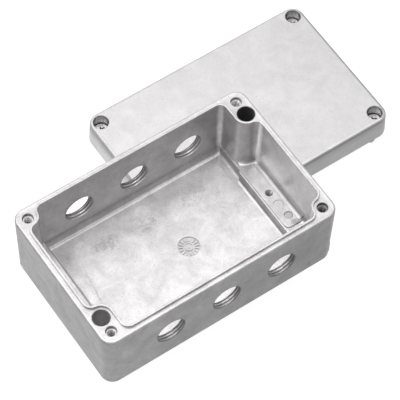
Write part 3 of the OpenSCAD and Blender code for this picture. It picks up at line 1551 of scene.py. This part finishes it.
@dataclass(frozen=True)
class Lamp:
    """A soft square lamp that looks at the object.

    Attributes:
        name: Its name.
        direction: Where it hangs, seen from the object.
        power: Its power in watts.
        size: Its side in metres.
        distance: How far away it hangs in metres.
    """

    name: str
    direction: Place
    power: float
    size: float = 2.0
    distance: float = 2.4

    def hang(self, target: Sequence[float]) -> None:
        """Hang the lamp so that it looks at a point.

        Args:
            target: The point, in metres.
        """
        data = bpy.data.lights.new(self.name, "AREA")
        data.size = self.size
        data.energy = self.power
        away = Vector(self.direction).normalized()
        lamp = bpy.data.objects.new(self.name, data)
        lamp.location = Vector(target) + away * self.distance
        lamp.rotation_euler = away.to_track_quat("Z", "Y").to_euler()
        bpy.context.collection.objects.link(lamp)


@dataclass
class Studio:
    """Floor, light and camera.

    Attributes:
        floor_size: Side of the floor in metres.
        floor_colour: Its grey.
        floor_glow: White that the camera sees on top of the light it gets.
        gloss_glow: The same for rays off a glossy face.
        target: What the lamps look at, in metres.
        lamps: The lamps.
        eye: Where the camera stands, in millimetres.
        azimuth: Where it stands round the object, in radians from the front.
        elevation: How steeply it looks down, in radians.
        roll: How far it is turned about its own axis, in radians.
        focal_px: Its focal length, where the picture is as wide as image_px.
        image_px: Width of the picture in pixels.
        sensor_mm: Width of the sensor in millimetres.
        view_end: How far the camera sees, in metres.
    """

    floor_size: float = 24.0
    floor_colour: float = 0.2
    floor_glow: float = 0.97
    gloss_glow: float = 0.65
    target: Place = (0.0, 0.0, 0.03)
    lamps: tuple[Lamp, ...] = (
        Lamp("overhead", (0.0, 0.0, 1.0), 42.7),
        Lamp("left", (-0.6, 0.4, 1.0), 30.9),
        Lamp("back", (0.0, 1.0, 0.8), 8.8),
    )
    eye: Place = (-328.299, -441.751, 928.781)
    azimuth: float = math.radians(-36.304)
    elevation: float = math.radians(59.026)
    roll: float = math.radians(2.391)
    focal_px: float = 2244.39
    image_px: float = 400.0
    sensor_mm: float = 36.0
    view_end: float = 100.0

    def build(self) -> None:
        """Set the stage."""
        self._world()
        self._floor()
        for lamp in self.lamps:
            lamp.hang(self.target)
        self._camera()
        bpy.context.scene.view_settings.view_transform = "Standard"

    def _white(
        self, tree: bpy.types.NodeTree, direct: float, glossy: float
    ) -> bpy.types.NodeSocket:
        """How white a background is to the rays that show it, and 0 to all others.

        Args:
            tree: Where the nodes go.
            direct: White for the camera, also through glass.
            glossy: White for rays off a glossy face.

        Returns:
            The strength of its white.
        """
        path = tree.nodes.new("ShaderNodeLightPath")
        shares = {"Is Camera Ray": direct, "Is Transmission Ray": direct, "Is Glossy Ray": glossy}
        white: Value = 0.0
        for name, share in shares.items():
            part = maths(tree, "MULTIPLY", path.outputs[name], share)
            white = maths(tree, "MAXIMUM", part, white)
        return white

    def _world(self) -> None:
        """Make the world, which is white to look at and gives no light."""
        world = bpy.data.worlds.new("studio")
        bpy.context.scene.world = world
        world.use_nodes = True
        tree = world.node_tree
        back = tree.nodes["Background"]
        back.inputs["Color"].default_value = (1, 1, 1, 1)
        tree.links.new(self._white(tree, direct=1.0, glossy=1.0), back.inputs["Strength"])

    def _floor(self) -> None:
        """Make the floor, which shows white and keeps the object's shadow."""
        deselect()
        bpy.ops.mesh.primitive_plane_add(size=self.floor_size)
        floor = bpy.context.view_layer.objects.active
        floor.name = "floor"
        material = bpy.data.materials.new("pale_floor")
        material.use_nodes = True
        tree = material.node_tree
        tree.nodes.remove(tree.nodes["Principled BSDF"])
        matt = tree.nodes.new("ShaderNodeBsdfDiffuse")
        grey = self.floor_colour
        matt.inputs["Color"].default_value = (grey, grey, grey, 1)
        glow = tree.nodes.new("ShaderNodeEmission")
        both = tree.nodes.new("ShaderNodeAddShader")
        link(
            tree,
            (self._white(tree, self.floor_glow, self.gloss_glow), glow.inputs["Strength"]),
            (matt.outputs[0], both.inputs[0]),
            (glow.outputs[0], both.inputs[1]),
            (both.outputs[0], tree.nodes["Material Output"].inputs["Surface"]),
        )
        floor.data.materials.append(material)

    def _camera(self) -> None:
        """Set up the camera at the photograph's angle and distance."""
        round_z = Matrix.Rotation(self.azimuth, 3, "Z")
        back = round_z @ Vector((0, -math.cos(self.elevation), math.sin(self.elevation)))
        level = (-back).cross(Vector((0, 0, 1))).normalized()
        upright = back.cross(level)
        right = level * math.cos(self.roll) + upright * math.sin(self.roll)
        up = upright * math.cos(self.roll) - level * math.sin(self.roll)
        data = bpy.data.cameras.new("camera")
        data.sensor_width = self.sensor_mm
        data.lens = self.focal_px / self.image_px * self.sensor_mm
        data.clip_end = self.view_end
        camera = bpy.data.objects.new("camera", data)
        turn = Matrix((right, up, back)).transposed().to_4x4()
        camera.matrix_world = Matrix.Translation([MM * c for c in self.eye]) @ turn
        bpy.context.collection.objects.link(camera)
        bpy.context.scene.camera = camera


# Painted light and shade, and stained spots, on the metal, in millimetres: a place, a reach along
# X, Y and Z, and a strength


def on_base(x: float, y: float, z: float, reach: Place, strength: float, **more: float) -> PaintedShadeOrStain:
    """A stained spot, or painted light and shade, on the base, with its middle in the base's frame.
    """
    ox, oy, oz = Base.origin
    return PaintedShadeOrStain((ox + x, oy + y, oz + z), reach, strength, **more)


def on_floor(x: float, y: float, reach: Point, strength: float, **more: float) -> PaintedShadeOrStain:
    """A stained spot, or painted light and shade, on the floor of the base, with its middle in the
    base's frame.
    """
    height = 2.5
    return on_base(x, y, Base.floor, (*reach, height), strength, **more)


def on_lid(x: float, y: float, z: float, reach: Place, strength: float, **more: float) -> PaintedShadeOrStain:
    """A stained spot, or painted light and shade, on the lid, with its middle in the lid's frame.
    """
    ox, oy, oz = Lid.origin
    return PaintedShadeOrStain((ox + x, oy + y, oz + z), reach, strength, **more)


def thread_painted_light() -> Iterator[PaintedShadeOrStain]:
    """Painted shade in the roots and painted highlights on the crests of the threads in the cable
    entries.
    """
    root_r, crest_r, across = 8.15, 7.75, 3 * Base.half_w
    for x in Base.entry_x:
        for radius, strength in ((root_r, 0.6), (crest_r, -1.8)):
            reach = (radius, across, radius)
            yield on_base(x, 0.0, Base.entry_z, reach, strength, raggedness=0.0, core=0.97)


def hole_painted_light() -> Iterator[PaintedShadeOrStain]:
    """Painted light and shade in the wells, painted shade in the screw holes' mouths and painted
    highlights on their threads.
    """
    places, sharp = Base(), {"raggedness": 0.0, "core": 0.93}
    well_r, well_mid, well_tall = 4.5, 20.0, 130.0
    # Painted light in the front left well and painted shade in the back right one
    for (x, y), strength in zip(places.wells, (-0.33, 0.62)):
        reach = (well_r, well_r, well_tall)
        yield on_base(x, y, well_mid, reach, strength, raggedness=0.0, core=0.95)
    # Painted shade in the mouths of the screw holes and painted highlights on their threads
    mouth_r, thread_r, hole_mid, hole_tall = 2.75, 2.3, 30.0, 60.0
    mouths, threads = (0.5, 0.7, 0.5, 0.5), (-2.0, -0.7, -2.0, -1.7)
    for (x, y), dark, light in zip(places.screws, mouths, threads):
        for radius, strength in ((mouth_r, dark), (thread_r, light)):
            yield on_base(x, y, hole_mid, (radius, radius, hole_tall), strength, **sharp)


def lid_painted_light() -> Iterator[PaintedShadeOrStain]:
    """Painted shade in the counterbores and on the upper edges; painted floor reflection on the
    sides' feet.
    """
    places = Lid()
    bore_r, bore_mid, bore_tall = 4.1, 9.0, 60.0
    # Painted shade in the counterbores
    for x, y in places.screws:
        reach = (bore_r, bore_r, bore_tall)
        yield on_lid(x, y, bore_mid, reach, 0.45, raggedness=0.0, core=0.93)
    long, wide, top, foot = places.half_l, places.half_w, places.height, 4.0
    # A painted shade or light along a whole side runs well past its ends
    run_l, run_w = 220.0, 180.0
    soft = {"raggedness": 0.1, "core": 0.4}
    # Painted shade along the upper edges and the upper parts of the sides, and painted reflection
    # of the floor that lightens their feet
    for side in (-1, 1):
        yield on_lid(0.0, side * wide, top - 0.8, (run_l, 1.5, 1.6), 0.42, **soft)
        yield on_lid(side * (long - 0.7), 0.0, top + 0.1, (1.5, run_w, 0.9), 0.42, **soft)
        yield on_lid(side * long, 0.0, top - 1.6, (1.8, run_w, 2.0), 0.16, **soft)
        yield on_lid(0.0, side * wide, foot, (run_l, 2.0, 2 * foot), -0.30, **soft)
        yield on_lid(side * long, 0.0, foot, (2.0, run_w, 2 * foot), -0.75, **soft)


def screw_darkening_and_painted_shade() -> Iterator[PaintedShadeOrStain]:
    """Darker threads of the lid screws below the lid, and painted shade in their cross recesses."""
    everywhere, thread_top = 400.0, 10.8
    reach = (everywhere, everywhere, thread_top)
    yield PaintedShadeOrStain((0.0, 0.0, 0.0), reach, 0.65, raggedness=0.2, core=0.8)
    # Painted shade in the cross recesses
    recess_r, recess_z, recess_tall = 2.6, 6.1, 1.4
    for x, y in Lid().screws:
        reach = (recess_r, recess_r, recess_tall)
        yield on_lid(x, y, recess_z, reach, 0.65, raggedness=0.1, core=0.7)


FLOOR_STAINS_AND_PAINTED_LIGHT = (
    # Darker ragged clouds on the floor along the back wall, from the left, and along the left shelf
    on_floor(-44.0, 23.5, (7.5, 9.0), 0.34, raggedness=0.5),
    on_floor(-24.0, 22.0, (13.0, 9.5), 0.20),
    on_floor(-2.0, 21.0, (15.0, 8.5), 0.18),
    on_floor(24.0, 23.0, (18.0, 9.0), 0.14),
    on_floor(-41.0, 5.0, (2.8, 15.0), 0.18),
    # Painted light on the floor at the foot of the left shelf and of the back wall
    on_floor(-44.9, 5.0, (2.4, 24.0), -0.12, raggedness=0.3),
    on_floor(5.0, 29.5, (62.0, 4.2), -0.14, raggedness=0.3),
    # Ragged flow marks between the pin marks
    on_floor(-23.0, 21.5, (7.5, 4.5), 0.2, raggedness=1.0, core=0.8),
    on_floor(-1.5, 20.0, (6.5, 5.0), 0.2, raggedness=1.0, core=0.8),
    on_floor(23.0, 20.0, (6.5, 4.5), 0.18, raggedness=1.0, core=0.8),
    # The bright pin marks and the duller date insert
    on_floor(-34.0, 25.7, (4.0, 4.0), -0.12, raggedness=0.3, core=0.8),
    on_floor(0.2, 26.5, (4.4, 4.4), -0.14, raggedness=0.3, core=0.8),
    on_floor(41.0, 25.5, (3.8, 3.8), -0.08, raggedness=0.3, core=0.8),
    on_floor(7.5, -0.7, (5.6, 5.6), 0.2, raggedness=0.3, core=0.93),
)
WALL_PAINTED_LIGHT_AND_STAINS = (
    # Painted shade darkens the outer front wall to the right, and painted light lightens its left
    # end
    on_base(50.0, -40.0, 22.0, (60.0, 3.5, 40.0), 0.33, raggedness=0.2, core=0.0),
    on_base(-52.0, -40.0, 15.0, (36.0, 3.5, 40.0), -0.16, raggedness=0.2, core=0.0),
    # Painted light on the right inner wall
    on_base(59.0, 9.0, 15.0, (3.0, 17.0, 11.0), -0.6, raggedness=0.2, core=0.2),
    on_base(59.0, -12.0, 14.0, (3.0, 20.0, 9.0), -0.25, raggedness=0.2, core=0.2),
    on_base(59.5, 12.0, 33.0, (3.0, 9.0, 10.0), -0.4, raggedness=0.2, core=0.2),
    # Painted shade on the face of the right shelf
    on_base(47.7, 0.0, 5.8, (1.3, 80.0, 3.2), 0.34, raggedness=0.1, core=0.6),
    # Painted light on the lands of the rim at the right and the back, and painted shade on its left
    # round
    on_base(61.2, 0.0, 40.0, (2.0, 80.0, 1.5), -0.22, raggedness=0.2, core=0.5),
    on_base(0.0, 38.8, 40.0, (200.0, 2.0, 1.5), -0.14, raggedness=0.2, core=0.5),
    on_base(-62.5, 0.0, 39.2, (1.4, 180.0, 1.4), 0.14, raggedness=0.1, core=0.5),
    # Painted shade in the coves beside the pad and at the foot of the boss
    on_base(57.4, 0.0, 9.6, (2.4, 60.0, 1.8), 0.42, raggedness=0.1, core=0.4),
    on_base(54.5, 18.6, 9.7, (5.5, 2.0, 1.7), 0.4, raggedness=0.1, core=0.4),
    # A painted highlight along the foot of the back wall, with painted shade behind it
    on_base(0.0, 32.9, 3.5, (200.0, 0.55, 1.0), -0.8, raggedness=0.1, core=0.4),
    on_base(0.0, 34.5, 3.9, (200.0, 1.2, 1.1), 0.36, raggedness=0.1, core=0.4),
    # The bright disc, the dimple and the rough spot on the pad
    on_base(53.3, 13.7, 9.0, (2.7, 2.7, 2.0), -0.12, raggedness=0.2, core=0.85),
    on_base(53.5, -14.8, 9.0, (2.3, 2.3, 2.5), 0.35, raggedness=0.3, core=0.85),
    on_base(55.5, -19.0, 9.0, (4.0, 3.0, 3.0), 0.45, raggedness=1.0, core=0.6),
    # Painted reflections: bright streaks up both fillets of the well's boss
    on_base(58.0, 16.8, 24.0, (1.8, 1.8, 30.0), -1.3, raggedness=0.1, core=0.5),
    on_base(48.4, 34.6, 24.0, (2.0, 2.0, 30.0), -0.6, raggedness=0.1, core=0.5),
)
BASE_CAST = MetalFinish(
    name="cast_aluminium_base",
    colour=(0.547, 0.537, 0.541),
    metallic=0.5,
    roughness=(0.26, 0.38),
    clouds=(0.70, 1.12),
    specks=(0.87, 1.11),
    grain_scale=2400.0,
    cloud_scale=100.0,
    bump=0.035,
    stains_and_painted_light=(*FLOOR_STAINS_AND_PAINTED_LIGHT, *WALL_PAINTED_LIGHT_AND_STAINS, *thread_painted_light(), *hole_painted_light()),
)
LID_CAST = replace(
    BASE_CAST,
    name="cast_aluminium_lid",
    clouds=(0.88, 1.06),
    specks=(0.945, 1.05),
    stains_and_painted_light=tuple(lid_painted_light()),
)
STEEL = MetalFinish(
    name="screw_steel",
    colour=(0.92, 0.91, 0.91),
    metallic=1.0,
    roughness=(0.22, 0.34),
    clouds=(0.92, 1.04),
    specks=(0.97, 1.03),
    grain_scale=5200.0,
    cloud_scale=400.0,
    bump=0.01,
    stains_and_painted_light=tuple(screw_darkening_and_painted_shade()),
)


def main(studio: Studio = Studio()) -> None:
    """Build the object and its stage.

    Args:
        studio: The stage.
    """
    logging.basicConfig(level=logging.INFO)
    skin = grain_group()
    base_cast, lid_cast = BASE_CAST.material(skin), LID_CAST.material(skin)
    steel = STEEL.material(skin)
    rubber = RubberFinish().material(skin)
    base, lid = Base(), Lid()
    base.build().settle(base.origin, base_cast, Slot.CASTING, "base")
    lid.build().settle(lid.origin, lid_cast, Slot.CASTING, "lid")
    lid.gasket().settle(lid.origin, rubber, Slot.GASKET, "lid_gasket")
    screw = LidScrew().build()
    names = ("front_left", "front_right", "back_left", "back_right")
    for name, (x, y) in zip(names, lid.screws):
        place = (lid.origin[0] + x, lid.origin[1] + y, lid.origin[2])
        twin = screw.copy()
        twin.obj.name = f"screw_{name}"
        twin.settle(place, steel, Slot.SCREW, f"lid_screw_{name}", f"screw_{name}")
    screw.drop()
    studio.build()


if __name__ == "__main__":
    main()
